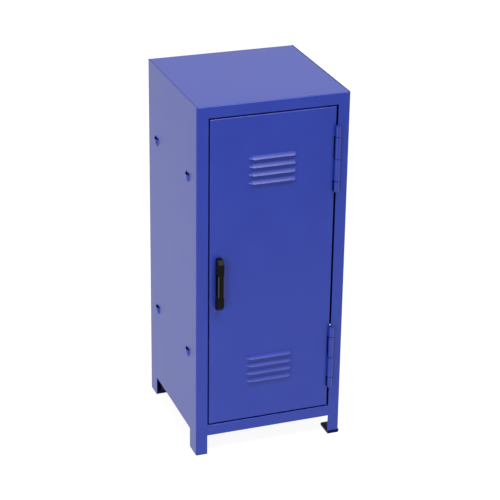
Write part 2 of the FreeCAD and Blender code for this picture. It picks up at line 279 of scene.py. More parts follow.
def add_rod(name, radius, low, high, sides=32):
    """An upright cylinder between two points, one above the other."""
    bpy.ops.object.select_all(action="DESELECT")
    low, high = Vector(low), Vector(high)
    middle = (low + high) / 2
    bpy.ops.mesh.primitive_cylinder_add(vertices=sides, radius=radius, depth=high.z - low.z, location=middle)
    return begin(name)


# %% [markdown]
# ### Picking by place
#
# An operator acts on whatever is selected. A modeller would click on a face; here each step picks its faces,
# edges or vertices by where they are and which way they look. Scoring a line is the bisect operator, which
# cuts the picked faces along a plane.

# %% Pick, score and cut
score_threshold = 0.001 * mm


def pick(kind, wanted):
    """Select what shows of the open piece and is wanted. The test gets an item's middle and the item."""
    bpy.ops.mesh.select_mode(type=kind)
    bpy.ops.mesh.select_all(action="DESELECT")
    mesh = bmesh.from_edit_mesh(bpy.context.active_object.data)
    items = {"VERT": mesh.verts, "EDGE": mesh.edges, "FACE": mesh.faces}[kind]
    for item in items:
        corners = [item.co] if kind == "VERT" else [corner.co for corner in item.verts]
        if not item.hide and wanted(sum(corners, Vector()) / len(corners), item):
            item.select_set(True)
    mesh.select_flush_mode()
    bmesh.update_edit_mesh(bpy.context.active_object.data)


def score(axis, places, wanted=lambda middle, face: True):
    """Cut straight lines across the wanted faces, where planes square to an axis pass the places."""
    normal = Vector((axis == "X", axis == "Y", axis == "Z"))
    for place in places:
        pick("FACE", wanted)
        bpy.ops.mesh.bisect(plane_co=normal * place, plane_no=normal, threshold=score_threshold)


def cut_away(wanted):
    """Delete the wanted faces."""
    pick("FACE", wanted)
    bpy.ops.mesh.delete(type="FACE")


def bevel(kind, wanted, width, steps):
    """Bevel the wanted edges or corners."""
    pick(kind, wanted)
    affected = {"VERT": "VERTICES", "EDGE": "EDGES"}[kind]
    bpy.ops.mesh.bevel(offset=width, segments=steps, affect=affected)


def extrude(way):
    """Draw out what is picked."""
    bpy.ops.mesh.extrude_region_move(TRANSFORM_OT_translate={"value": way})


# %% [markdown]
# ### Tests of place
#
# A few tests come back on every piece: whether two places are the same, whether one lies beside others, and
# whether a face looks straight up or down. A face is square to an axis when nearly all of its normal lies
# along it.

# %% Compare places and look at faces
same_place = 0.01 * mm
square_on = 0.99


def near(a, b):
    """True where two places are the same."""
    return abs(a - b) < same_place


def beside(place, places, reach):
    """True where a place is within reach of one of several places."""
    return min(abs(place - other) for other in places) < reach


def faces_up(middle, face):
    return face.normal.z > square_on


def faces_down(middle, face):
    return face.normal.z < -square_on


# %% [markdown]
# ### From skin to sheet
#
# A folded panel is first made as a skin with no thickness, the outer face of the metal. Solidify then gives
# it the thickness of the sheet inwards, and a small bevel rounds the cut edges, as the coat does on the real
# one. Weighted normals keep the large faces flat in the light while the bends stay round.

# %% Finish a piece
coat_edge = 0.18 * mm
sharp_from = math.radians(35)


def apply_modifier(piece, kind, **settings):
    """Add a modifier with its settings and apply it."""
    modifier = piece.modifiers.new(kind.lower(), kind)
    for name, value in settings.items():
        setattr(modifier, name, value)
    bpy.ops.object.modifier_apply(modifier=modifier.name)


def smooth(piece):
    """Close a piece and smooth its shading between flat faces."""
    bpy.ops.object.mode_set(mode="OBJECT")
    bpy.ops.object.shade_smooth_by_angle(angle=sharp_from)
    apply_modifier(piece, "WEIGHTED_NORMAL", keep_sharp=True)


def settle(piece, edge, steps=2):
    """Close a piece, round what is still sharp on it, and smooth it."""
    bpy.ops.object.mode_set(mode="OBJECT")
    apply_modifier(
        piece, "BEVEL", width=edge, segments=steps, limit_method="ANGLE", angle_limit=sharp_from,
        use_clamp_overlap=False,
    )
    smooth(piece)


def settle_sheet(piece, thickness):
    """Turn a folded skin into sheet metal."""
    bpy.ops.object.mode_set(mode="OBJECT")
    apply_modifier(piece, "SOLIDIFY", thickness=thickness, offset=-1, use_even_offset=True)
    settle(piece, coat_edge)


# %% [markdown]
# ### Taking a solid's place
#
# A finished piece is shown instead of its solid: it gets its finish, rides on the body that the solid belongs
# to, and the solid is hidden. When the door swings, the pieces on its body swing with it.

# %% Hand a piece over
def hand_over(piece, finish, slot, *nodes):
    """Dress a finished piece, ride it on its solids' body and let it stand for them."""
    piece.data.name = piece.name
    piece.data.materials.clear()
    piece.data.materials.append(finish)
    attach(piece, body_of_node[nodes[0]])
    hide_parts(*nodes)
    print(piece.name, "stands for", ", ".join(nodes), "with", len(piece.data.polygons), "faces")


# %% [markdown]
# ## Pressed hoods
#
# Louvers and shelf pockets are made in a press: a blade cuts a slit in the sheet and a round die pushes the
# metal beside the slit outwards. The mesh is made in the same order. A footprint is divided finely, its slit
# is split open, and the lip is pulled out with proportional editing, so that the sheet follows it and dies
# away to flat over a chosen distance. The rest of the skin is hidden meanwhile: the falloff goes by distance
# alone, and would otherwise take the other side of the slit along.

# %% Press a hood
def press(is_footprint, is_slit, is_lip, cuts, pulls):
    """Press every hood that lies on the open skin. A pull is a way, a distance and a falloff."""
    pick("FACE", is_footprint)
    bpy.ops.mesh.subdivide(number_cuts=cuts)
    pick("EDGE", is_slit)
    bpy.ops.mesh.edge_split(type="EDGE")
    pick("FACE", is_footprint)
    bpy.ops.mesh.hide(unselected=True)
    pick("VERT", is_lip)
    for way, distance, falloff in pulls:
        bpy.ops.transform.translate(
            value=way, use_proportional_edit=True,
            proportional_size=distance, proportional_edit_falloff=falloff,
        )
    bpy.ops.mesh.reveal(select=False)


# %% [markdown]
# ## The sides
#
# Each side is one bent sheet: a stile in front, the broad side, and a flange behind. Between its legs it is
# cut away, with rounded inner corners. It could be extruded from a bent profile, but a block with three
# faces taken off is already that channel, so only the bends, the leg opening and the four shelf pockets are
# left to make.

# %% Fold a side
bend = 2.5 * mm
bend_steps = 6
leg_depth = 39 * mm
leg_corner = 3 * mm
seam = 0.1 * mm
underside = floor_low.z
stile_top = top - bend - seam


def fold_side(name, hand, leg_bottom):
    """The skin of a side, open for editing. The hand is -1 on the left and 1 on the right."""
    xs = sorted((hand * half_width, hand * opening_half))
    side = add_block(name, (xs[0], front, leg_bottom), (xs[1], back, top))
    cut_away(lambda middle, face: abs(face.normal.z) > square_on or face.normal.x * hand < -square_on)

    def broad(middle, face):
        return abs(face.normal.x) > square_on

    def low_and_broad(middle, face):
        return broad(middle, face) and middle.z < underside

    legs = (front + leg_depth, back - leg_depth)
    score("Z", [underside], broad)
    score("Y", legs, low_and_broad)
    cut_away(lambda middle, face: low_and_broad(middle, face) and legs[0] < middle.y < legs[1])
    pick("EDGE", lambda middle, edge: near(middle.z, underside) and not edge.is_boundary)
    bpy.ops.mesh.dissolve_edges(use_verts=False)

    def is_leg_corner(place, corner):
        return near(place.z, underside) and beside(place.y, legs, mm)

    def is_fold(middle, edge):
        return near(abs(middle.x), half_width) and beside(middle.y, (front, back), mm)

    bevel("VERT", is_leg_corner, leg_corner, bend_steps)
    bevel("EDGE", is_fold, bend, bend_steps)
    score("Z", [stile_top])
    cut_away(lambda middle, face: middle.z > stile_top and abs(middle.x) < half_width - bend)
    return side


# %% [markdown]
# ### Shelf pockets
#
# A pocket is a small scoop below an arched window, and the lug of a shelf hangs in it. It could be joined on
# as half an egg, but pressed from the skin it has the thickness of the sheet and an open mouth. The window is
# cut and its upper corners are rounded. Then a short upright line in the middle of the scoop is pulled out,
# with a falloff that is full near the line and steep at its end, so that the scoop is round in section and at
# its toe. Its footprint is a little larger than the falloff reaches, so that the sheet round it stays flat.

# %% Press the pockets
pocket_half = 10 * mm
pocket_drop = 16 * mm
pocket_margin = 0.4 * mm
pocket_reach = pocket_half - pocket_margin
window_height = 4 * mm
window_round = 3.9 * mm
pocket_rise = -half_width - side_low.x
pocket_inset = 52 * mm
pocket_below_shelf = 3.2 * mm
pocket_cuts = 15
slack = 0.1 * mm
pocket_heights = [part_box(shelf)[1].z - pocket_below_shelf for shelf in ("upper_shelf", "lower_shelf")]
pocket_places = (front + pocket_inset, back - pocket_inset)
print("pocket lips", [round(height / mm, 1) for height in pocket_heights], "mm above the floor")


def press_pockets(hand):
    """Press the four pockets into an open side."""
    def in_rows(middle, face):
        return any(z - pocket_drop < middle.z < z for z in pocket_heights)

    def is_footprint(middle, face):
        return in_rows(middle, face) and beside(middle.y, pocket_places, pocket_half)

    def is_slit(middle, edge):
        on_line = any(near(middle.z, z) for z in pocket_heights)
        return on_line and beside(middle.y, pocket_places, pocket_half)

    def is_lip(place, corner):
        line = pocket_drop - pocket_half
        high = any(z - line - slack < place.z < z + slack for z in pocket_heights)
        in_hood = all(in_rows(face.calc_center_median(), face) for face in corner.link_faces)
        return high and in_hood and beside(place.y, pocket_places, slack)

    def in_windows(middle, face):
        return any(z < middle.z < z + window_height for z in pocket_heights)

    def is_window(middle, face):
        return in_windows(middle, face) and beside(middle.y, pocket_places, pocket_half)

    def is_arch_corner(place, corner):
        high = any(near(place.z, z + window_height) for z in pocket_heights)
        return high and any(near(abs(place.y - y), pocket_half) for y in pocket_places)

    score("Z", [z + step for z in pocket_heights for step in (-pocket_drop, 0, window_height)])
    score("Y", [y + step for y in pocket_places for step in (-pocket_half, pocket_half)], in_windows)
    cut_away(is_window)
    bevel("VERT", is_arch_corner, window_round, bend_steps)
    score("Y", [y + step for y in pocket_places for step in (-pocket_half, 0, pocket_half)], in_rows)
    pull = ((hand * pocket_rise, 0, 0), pocket_reach, "SPHERE")
    press(is_footprint, is_slit, is_lip, pocket_cuts, [pull])


# %% [markdown]
# ### Both sides
#
# The right side is folded like the left one with the other hand, instead of being mirrored, so that its
# faces look outwards from the start. Each side's legs end where its solid does, because the pads differ.

# %% Finish the sides
for name, hand in (("left", -1), ("right", 1)):
    side = fold_side(name + "_side_sheet", hand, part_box(name + "_side_panel")[0].z)
    press_pockets(hand)
    settle_sheet(side, sheet)
    hand_over(side, blue_coat, "blue_powder_coat", name + "_side_panel")

# %% [markdown]
# ## The top and the floor
#
# Both are trays that hang between the sides, with flanges folded down all round. The front flange is the
# rail of the door frame, so it is cut back where the stiles stand in front of it. On the top the round bend
# itself runs on over the stiles, which leaves only a small notch at each corner. The edges are bent first and
# the cuts are made while the tray is still a skin, because a skin has just one face to cut.

# %% Fold the top and the floor
rail_half = opening_half - seam
notch_clearance = 0.3 * mm
corner_notch = bend + notch_clearance


def start_tray(name, low, high, facing):
    """A tray's skin, open for editing: the block without its back, with the face's edges bent."""
    tray = add_block(name, low, high)
    facing = Vector(facing)
    cut_away(lambda middle, face: face.normal.dot(facing) < -square_on)
    face_level = max(Vector(corner).dot(facing) for corner in (low, high))
    bevel("EDGE", lambda middle, edge: near(middle.dot(facing), face_level), bend, bend_steps)
    return tray


def fold_rail_tray(name, low, high, stile_height):
    """A tray between the sides, cut back round the stiles and their bends."""
    notch_half = half_width - corner_notch
    tray = start_tray(name, low, high, (0, 0, 1))
    score("X", [-notch_half, -rail_half, rail_half, notch_half])
    score("Y", [front + corner_notch, back - corner_notch])
    score("Z", [stile_height])

    def outer_end(middle):
        return middle.y < front + corner_notch or middle.y > back - corner_notch

    cut_away(lambda middle, face: abs(middle.x) > notch_half and outer_end(middle))

    def behind_stile(middle, face):
        low_enough = middle.z < stile_height and beside(middle.y, (front, back), sheet)
        return low_enough and abs(middle.x) > rail_half

    cut_away(behind_stile)
    settle_sheet(tray, sheet)
    return tray


roof = fold_rail_tray("top_sheet", top_low, top_high, top - bend)
hand_over(roof, blue_coat, "blue_powder_coat", "top_panel")
base = fold_rail_tray("floor_sheet", floor_low, floor_high, floor_high.z - same_place)
hand_over(base, blue_coat, "blue_powder_coat", "bottom_panel")

# %% [markdown]
# ## The door
#
# The door is a pan with its edges folded back, a return lip behind its free edge for the catch, two groups
# of four louvers, and notches where the knuckles of the frame reach past its edge. The lip is drawn out of
# the pan's rim, and the notches are cut along scored lines. The louvers are pressed last, since no more lines
# have to cross them then.

# %% Fold the door
door_return = 12 * mm
lip_bend = bend / 2
knuckle_shares = (1, 2, 2, 1)
knuckle_gap = 1.2 * mm
notch_width = 4.2 * mm
notch_depth = 6 * mm
notch_margin = 1 * mm


def knuckle_spans(which, owner):
    """Heights of one leaf's knuckles. From the top they belong to the door, frame, door and frame."""
    low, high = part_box(which + "_hinge_pin")
    share = (high.z - low.z) / sum(knuckle_shares)
    upper = high.z
    spans = []
    for count in knuckle_shares:
        lower = upper - count * share
        spans.append((lower + knuckle_gap / 2, upper - knuckle_gap / 2))
        upper = lower
    return spans[0::2] if owner == "door" else spans[1::2]


def is_free_rim(middle, edge):
    return near(middle.x, -door_half) and near(middle.y, door_high.y)


door = start_tray("door_sheet", (-door_half, front, door_low.z), door_high, (0, -1, 0))
pick("EDGE", is_free_rim)
extrude((door_return, 0, 0))
bevel("EDGE", is_free_rim, lip_bend, steps=3)

notches = [span for which in ("upper", "lower") for span in knuckle_spans(which, "frame")]
notches = [(low - notch_margin, high + notch_margin) for low, high in notches]
score("X", [door_half - notch_width])
score("Y", [front + notch_depth])
score("Z", [level for notch in notches for level in notch])
cut_away(
    lambda middle, face: middle.x > door_half - notch_width and middle.y < front + notch_depth
    and any(low < middle.z < high for low, high in notches)
)
print("door skin with", len(notches), "hinge notches")

# %% [markdown]
# ### Louvers
#
# A louver lets air through and keeps drops out. It is a straight ramp that steepens a little towards its lip
# and is round at both ends. A straight pull gives the ramp and a sharp one steepens it at the lip. Only the
# straight part of the lip is pulled, so that the ends follow as quarters of a cone.

# %% Press the louvers and finish the door
louver_count = 4
louver_pitch = 16.3 * mm
louver_half = 49 * mm
louver_drop = 7.5 * mm
louver_rise = front - door_low.y
louver_cuts = 11
ramp_share = 0.75
upper_group, lower_group = 204.5 * mm, -209 * mm
louver_middles = (door_middle + upper_group, door_middle + lower_group)
louver_steps = [(count - (louver_count - 1) / 2) * louver_pitch for count in range(louver_count)]
louver_lips = [middle + step for middle in louver_middles for step in louver_steps]
lip_half = louver_half - louver_drop

score("X", [-louver_half, -lip_half, lip_half, louver_half])
score("Z", [lip + step for lip in louver_lips for step in (0, louver_drop)])


def on_lip_line(place):
    return near(place.y, front) and any(near(place.z, lip) for lip in louver_lips)


def is_louver_footprint(middle, face):
    level = any(lip < middle.z < lip + louver_drop for lip in louver_lips)
    return level and near(middle.y, front) and abs(middle.x) < louver_half


def is_louver_slit(middle, edge):
    return on_lip_line(middle) and abs(middle.x) < louver_half


def is_louver_lip(place, corner):
    above = all(face.calc_center_median().z > place.z for face in corner.link_faces)
    return on_lip_line(place) and above and abs(place.x) < lip_half + slack


press(
    is_louver_footprint, is_louver_slit, is_louver_lip, louver_cuts,
    [
        ((0, -ramp_share * louver_rise, 0), louver_drop, "LINEAR"),
        ((0, -(1 - ramp_share) * louver_rise, 0), louver_drop, "SHARP"),
    ],
)
settle_sheet(door, sheet)
hand_over(door, blue_coat, "blue_powder_coat", "door_panel")

# %% [markdown]
# ## The hinges
#
# Each hinge has two leaves, and each leaf two knuckles on one pin: from the top they belong to the door, the
# frame, the door and the frame. A knuckle is a short tube. A profile could be spun round the pin, but a rod
# whose ends are inset and opened, with the two openings bridged to a bore, is closed from the start. The
# seams between the knuckles are drawn a little wider than real ones, to be seen.

# %% Make a knuckle
barrel_radius = 5 * mm
barrel_edge = 0.6 * mm
barrel_sides = 40


def add_barrel(axis, bore, span):
    """A tube round the pin."""
    ends = [(axis.x, axis.y, height) for height in span]
    barrel = add_rod("barrel", barrel_radius, *ends, sides=barrel_sides)
    pick("FACE", lambda middle, face: faces_up(middle, face) or faces_down(middle, face))
    bpy.ops.mesh.inset(thickness=barrel_radius - bore)
    bpy.ops.mesh.delete(type="FACE")
    pick("EDGE", lambda middle, edge: edge.is_boundary)
    bpy.ops.mesh.bridge_edge_loops()
    settle(barrel, barrel_edge)
    return barrel


# %% [markdown]
# ### Leaves
#
# A leaf is a plate with its two knuckles, each on a narrow web. The frame's leaf is welded behind the stile
# and the door's leaf to the folded edge of the door. Plate, webs and knuckles are finished one by one, so
# that each has its own rounded edges, and then joined to one piece.

# %% Build a leaf
hinge_leaf = 1 * mm
frame_leaf_width = 20 * mm
door_leaf_start = 8 * mm
bore_gap = 0.05 * mm


def join_pieces(name, pieces):
    """Several finished pieces as one object."""
    bpy.ops.object.select_all(action="DESELECT")
    for piece in pieces:
        piece.select_set(True)
    bpy.context.view_layer.objects.active = pieces[0]
    bpy.ops.object.join()
    pieces[0].name = name
    return pieces[0]


def build_leaf(which, owner):
    """A hinge leaf with its two knuckles."""
    pin_low, pin_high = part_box(which + "_hinge_pin")
    axis = (pin_low + pin_high) / 2
    bore = (pin_high.x - pin_low.x) / 2 + bore_gap
    if owner == "frame":
        web = (opening_half - hinge_leaf, opening_half)
        plate_x = (web[0], web[0] + frame_leaf_width)
        plate_y = (front + sheet, front + sheet + hinge_leaf)
    else:
        web = (door_half, door_half + hinge_leaf)
        plate_x = web
        plate_y = (front + door_leaf_start, door_high.y)
    corners = [(plate_x[end], plate_y[end], height) for end, height in enumerate((pin_low.z, pin_high.z))]
    plate = add_block("leaf", *corners)
    settle(plate, coat_edge)
    pieces = [plate]
    seat = axis.y + (bore + barrel_radius) / 2
    for low, high in knuckle_spans(which, owner):
        pieces.append(add_barrel(axis, bore, (low, high)))
        pieces.append(add_block("web", (web[0], seat, low), (web[1], plate_y[1], high)))
        settle(pieces[-1], coat_edge)
    leaf = join_pieces(which + "_hinge_" + owner + "_knuckles", pieces)
    hand_over(leaf, blue_coat, "blue_powder_coat", which + "_hinge_" + owner + "_leaf")


# %% [markdown]
# ### Pins
#
# A pin is a plain rod with rounded ends. It is zinc plated, but the hinges are coated with the cabinet, so it
# is blue too where it shows, at its ends and in the seams between the knuckles.

# %% Build both hinges
pin_dome = 0.8 * mm

for which in ("upper", "lower"):
    build_leaf(which, "frame")
    build_leaf(which, "door")
    pin_low, pin_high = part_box(which + "_hinge_pin")
    axis = (pin_low + pin_high) / 2
    ends = [(axis.x, axis.y, height) for height in (pin_low.z, pin_high.z)]
    pin = add_rod(which + "_hinge_rod", axis.x - pin_low.x, *ends)
    settle(pin, pin_dome, steps=4)
    hand_over(pin, blue_coat, "zinc_steel", which + "_hinge_pin")

# %% [markdown]
# ## The handle
#
# A solid moulded pull. Its shoulders are cut off at a slant, its rim is rounded, and a groove along each
# flank takes the fingertips. A block has the edges of its ends bevelled once for the slant and once more to
# soften it, then its rim is bevelled, and last the grooves are scored on its flanks and pushed in.

# %% Model the handle
shoulder = 9 * mm
shoulder_round = 1.45 * mm
grip_edge = 1.5 * mm
groove_half = 22 * mm
groove_start = 3.5 * mm
groove_height = 8 * mm
groove_depth = 3.5 * mm
groove_round = 3 * mm
slight_bend, sharp_bend = math.radians(20), math.radians(60)

handle_low, handle_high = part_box("door_handle")
handle_middle = (handle_low + handle_high) / 2
handle_ends = (handle_low.z, handle_high.z)
groove_ends = (handle_middle.z - groove_half, handle_middle.z + groove_half)
groove_levels = (front - groove_start - groove_height, front - groove_start)


def is_end(middle, edge):
    in_front = near(middle.x, handle_middle.x) and near(middle.y, handle_low.y)
    return in_front and beside(middle.z, handle_ends, mm)


def is_shoulder_line(middle, edge):
    bent = edge.calc_face_angle(0) > slight_bend
    return bent and near(middle.x, handle_middle.x) and middle.y < handle_high.y - mm


def is_rim(middle, edge):
    return middle.y < handle_high.y - slack and edge.calc_face_angle(0) > sharp_bend


handle = add_block("pull_handle", handle_low, handle_high)
bevel("EDGE", is_end, shoulder, steps=1)
bevel("EDGE", is_shoulder_line, shoulder_round, steps=4)
bevel("EDGE", is_rim, grip_edge, steps=4)
print("handle with", len(bmesh.from_edit_mesh(handle.data).faces), "faces before its grooves")

# %% [markdown]
# ### Finger grooves
#
# Only the faces on the flanks are scored to the groove's outline, and each is pushed in towards the middle.
# The rim over the grooves is where the mould parts, so the glossy plastic goes there: it draws the thin
# light line beside the grip.

# %% Push in the grooves and finish the handle
lean = 0.1


def on_flank(middle, face):
    return abs(face.normal.x) > square_on


def in_groove(middle, face):
    level = groove_levels[0] < middle.y < groove_levels[1]
    return on_flank(middle, face) and level and groove_ends[0] < middle.z < groove_ends[1]


def is_groove_corner(middle, edge):
    inside = near(abs(middle.x - handle_middle.x), handle_high.x - handle_middle.x - groove_depth / 2)
    at_corner = beside(middle.y, groove_levels, same_place) and beside(middle.z, groove_ends, same_place)
    return inside and at_corner


def on_parting_line(face):
    """True on the rounded rim in front of the grooves."""
    aside, ahead, upwards = abs(face.normal.x), -face.normal.y, abs(face.normal.z)
    rounded = lean < aside < square_on and ahead > lean and upwards < lean
    return rounded and groove_ends[0] < face.center.z < groove_ends[1]


score("Z", groove_ends)
score("Y", groove_levels, on_flank)
for hand in (-1, 1):
    pick("FACE", lambda middle, face: in_groove(middle, face) and face.normal.x * hand > 0)
    extrude((-hand * groove_depth, 0, 0))
bevel("EDGE", is_groove_corner, groove_round, steps=5)
smooth(handle)
hand_over(handle, black_plastic, "black_plastic", "door_handle")
handle.data.materials.append(glossy_plastic)
glossy_faces = [face for face in handle.data.polygons if on_parting_line(face)]
for face in glossy_faces:
    face.material_index = 1
print(len(glossy_faces), "glossy faces")

# %% [markdown]
# ## The pads under the legs
#
# Each pad is moulded to the corner of its leg: a sole under the leg's edge and a core that fills the corner.
# On the left the pads are flush and the steel hides them. On the right they are taller, with a rim outside
# the leg as well. The sole is the start, the slot's lines are scored on it, and all but the slot is drawn up.
# One function makes all four, with every side counted as towards the outside or the inside of the locker.

# %% Model the pads
pad_edge = 1.2 * mm
slot_gap = 0.1 * mm


def build_pad(name, node, leg_bottom):
    """The pad of one leg, whose edge stands on the sole."""
    low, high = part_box(node)
    out_x = math.copysign(1, low.x + high.x)
    out_y = math.copysign(1, low.y + high.y)
    leg_y = front if out_y < 0 else back
    slot_x = [out_x * (half_width + slot_gap), out_x * (half_width - sheet - slot_gap)]
    slot_y = [leg_y + out_y * slot_gap, leg_y - out_y * (sheet + slot_gap)]
    outer = Vector((low.x if out_x < 0 else high.x, low.y if out_y < 0 else high.y, high.z))
    inner = Vector((high.x if out_x < 0 else low.x, high.y if out_y < 0 else low.y, high.z))
    proud = abs(outer.x) - half_width

    def round_corner(x, y, radius):
        def on_corner(middle, edge):
            return near(middle.x, x) and near(middle.y, y) and low.z < middle.z < high.z

        bevel("EDGE", on_corner, radius, bend_steps)

    def above_sole(middle, face):
        outside = middle.x * out_x > slot_x[0] * out_x or middle.y * out_y > slot_y[0] * out_y
        core = middle.x * out_x < slot_x[1] * out_x and middle.y * out_y < slot_y[1] * out_y
        return faces_up(middle, face) and (outside or core)

    pad = add_block(name, low, (high.x, high.y, leg_bottom))
    score("X", slot_x, faces_up)
    score("Y", slot_y, faces_up)
    pick("FACE", above_sole)
    extrude((0, 0, high.z - leg_bottom))

    def is_upper_rim(middle, edge):
        ends = [outer.x, outer.y, inner.x, inner.y]
        return near(middle.z, high.z) and any(near(a, b) for a in (middle.x, middle.y) for b in ends)

    bevel("EDGE", is_upper_rim, pad_edge, steps=3)
    round_corner(outer.x, outer.y, bend + proud)
    round_corner(slot_x[1], slot_y[1], bend - sheet - slot_gap)
    settle(pad, coat_edge)
    hand_over(pad, pad_plastic_with_painted_reflection, "black_plastic", node)


for hand in ("left", "right"):
    leg_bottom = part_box(hand + "_side_panel")[0].z
    for end in ("front", "rear"):
        build_pad(end + "_" + hand + "_pad", "foot_" + end + "_" + hand, leg_bottom)

# %% [markdown]
# ## Rivets and screws
#
# Blind rivets hold the back: a low domed head with the hole of its mandrel, a shank through both sheets, and
# a bulb pulled up inside. The rivet is modelled once, standing upright at the origin. Its head is a low
# cylinder with a bevelled rim, and the rest is drawn out of the head's underside step by step.

# %% Model one rivet
fastener_sides = 24
dome_steps = 4
rivet_head_radius, rivet_head_height, rivet_dome = 3.2 * mm, 1.1 * mm, 0.88 * mm
rivet_radius, rivet_length = 1.6 * mm, 1.6 * mm
bulb_radius, bulb_taper, bulb_length = 2.4 * mm, 0.6 * mm, 0.8 * mm
mandrel_radius, mandrel_depth = 1 * mm, 0.7 * mm
rivet_edge = 0.05 * mm


def add_head(name, radius, height, dome):
    """A low cylinder on zero height, open for editing, with its upper rim rounded to a dome."""
    head = add_rod(name, radius, (0, 0, 0), (0, 0, height), sides=fastener_sides)

    def on_top(middle, edge):
        return all(near(corner.co.z, height) for corner in edge.verts)

    bevel("EDGE", on_top, dome, dome_steps)
    return head


def draw_out(length, width=1.0):
    """Extrude the picked face along its axis, then widen or narrow its end."""
    extrude((0, 0, length))
    bpy.ops.transform.resize(value=(width, width, 1), center_override=(0, 0, 0))


def add_rivet():
    """A set blind rivet. Its head's seat is at zero height and its bulb hangs below."""
    rivet = add_head("rivet", rivet_head_radius, rivet_head_height, rivet_dome)
    pick("FACE", faces_up)
    bpy.ops.mesh.inset(thickness=rivet_head_radius - rivet_dome - mandrel_radius)
    draw_out(-mandrel_depth)
    pick("FACE", faces_down)
    bpy.ops.mesh.inset(thickness=rivet_head_radius - rivet_radius)
    draw_out(-rivet_length)
    bulge = bulb_radius / rivet_radius
    draw_out(-bulb_taper, bulge)
    draw_out(-bulb_length)
    draw_out(-bulb_taper, 1 / bulge)
    settle(rivet, rivet_edge)
    return rivet


# %% [markdown]
# ### Screws
#
# Pan-head screws with a cross recess hold the handle and the catch. The head is made like the rivet's. The
# lines of the cross are scored on its top, and the faces between them are pushed in and drawn together.

# %% Model one screw
screw_head_radius, screw_head_height, screw_dome = 3.2 * mm, 2.2 * mm, 0.88 * mm
screw_radius = 1.6 * mm
recess_half, recess_arm, recess_depth = 1.7 * mm, 0.45 * mm, 1.2 * mm
recess_taper = 0.6
screw_edge = 0.1 * mm


def add_screw(length):
    """A pan-head screw. Its head stands above zero height and its shank hangs below."""
    screw = add_head("screw", screw_head_radius, screw_head_height, screw_dome)
    lines = (-recess_half, -recess_arm, recess_arm, recess_half)
    score("X", lines, faces_up)
    score("Y", lines, faces_up)

    def in_cross(middle, face):
        across, along = sorted((abs(middle.x), abs(middle.y)))
        return faces_up(middle, face) and across < recess_arm and along < recess_half

    pick("FACE", in_cross)
    draw_out(-recess_depth, recess_taper)
    pick("FACE", faces_down)
    bpy.ops.mesh.inset(thickness=screw_head_radius - screw_radius)
    draw_out(-length)
    settle(screw, screw_edge)
    return screw


# %% [markdown]
# ### Copies at their places
#
# Six rivets hold the back to the flanges of the sides. Each is a copy with its own mesh. It is turned so that
# its head looks the right way, moved to its seat, and the turn and the move are applied, so that the joined
# piece sits at the origin like every other one.

# %% Set the rivets
def set_copies(name, master, facing, seats):
    """Copies of a fastener with their heads to one side, seated at several places, as one piece."""
    turn = Vector((0, 0, 1)).rotation_difference(Vector(facing))
    copies = []
    for seat in seats:
        bpy.ops.object.select_all(action="DESELECT")
        master.select_set(True)
        bpy.context.view_layer.objects.active = master
        bpy.ops.object.duplicate(linked=False)
        copy = bpy.context.active_object
        copy.rotation_mode = "QUATERNION"
        copy.rotation_quaternion = turn
        copy.location = seat
        bpy.ops.object.transform_apply(location=True, rotation=True, scale=True)
        copies.append(copy)
    bpy.data.objects.remove(master)
    return join_pieces(name, copies)


rivets_per_side = 3
rivet_low, rivet_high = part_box("back_rivets")
rivet_x = rivet_high.x - rivet_head_radius
rivet_span = (rivet_low.z + rivet_head_radius, rivet_high.z - rivet_head_radius)
rivet_step = (rivet_span[1] - rivet_span[0]) / (rivets_per_side - 1)
rivet_heights = [rivet_span[0] + count * rivet_step for count in range(rivets_per_side)]
rivet_seats = [(side * rivet_x, back, height) for side in (-1, 1) for height in rivet_heights]
rivets = set_copies("blind_rivets", add_rivet(), (0, 1, 0), rivet_seats)
hand_over(rivets, aluminium, "aluminium_rivet", "back_rivets")

# %% [markdown]
# ### Screws at their places
#
# Two screws hold the handle from inside the door, and two the catch on its bracket. Their seats and their
# length are read from the box of their solids, so that the heads end where the solids' heads do.

# %% Set the screws
def screw_seats(node, axis):
    """The two seats of a screw group: the middles of its ends in height, at the heads' underside."""
    low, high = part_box(node)
    middle = (low + high) / 2
    seats = []
    for z in (low.z + screw_head_radius, high.z - screw_head_radius):
        seat = Vector((middle.x, middle.y, z))
        seat[axis] = high[axis] - screw_head_height
        seats.append(seat)
    return seats, seats[0][axis] - low[axis]


for name, node, facing, axis in (
    ("handle_pan_screws", "handle_screws", (0, 1, 0), 1),
    ("catch_pan_screws", "catch_screws", (1, 0, 0), 0),
):
    seats, length = screw_seats(node, axis)
    screws = set_copies(name, add_screw(length), facing, seats)
    hand_over(screws, zinc, "zinc_steel", node)

# %% [markdown]
# ## The solids that stay
#
# The back, the shelves and the pieces of the catch are plain folded or moulded forms whose solids are
# already right, so they stay as they are and only take their finish.

# %% Dress the solids that stay
kept = {
    "back_panel": blue_coat,
    "upper_shelf": blue_coat,
    "lower_shelf": blue_coat,
    "catch_bracket": blue_coat,
    "catch_housing": black_plastic,
    "catch_magnet": ferrite,
    "catch_poles": zinc,
}
for node, finish in kept.items():
    solid = frame["nodes"][node]
    solid.data.materials.clear()
    solid.data.materials.append(finish)
print("dressed", len(kept), "solids")

# %% [markdown]
# ## The studio
#
# The locker stands on a sheet of white acrylic that is lit from below, which is how shadows on the floor are
# washed out in a catalogue picture. It reaches far beyond the picture, so that no edge of it shows. Its own
# colour is a grey, which throws little of the lamps' light and of the locker's blue back. It glows a little
# less towards the camera, where the door mirrors it, and that keeps the door's blue deep.

# %% Build the light table
table_size = 60
table_power = 0.92
table_roughness = 0.9
dim_from, bright_from = -1.45, -0.65

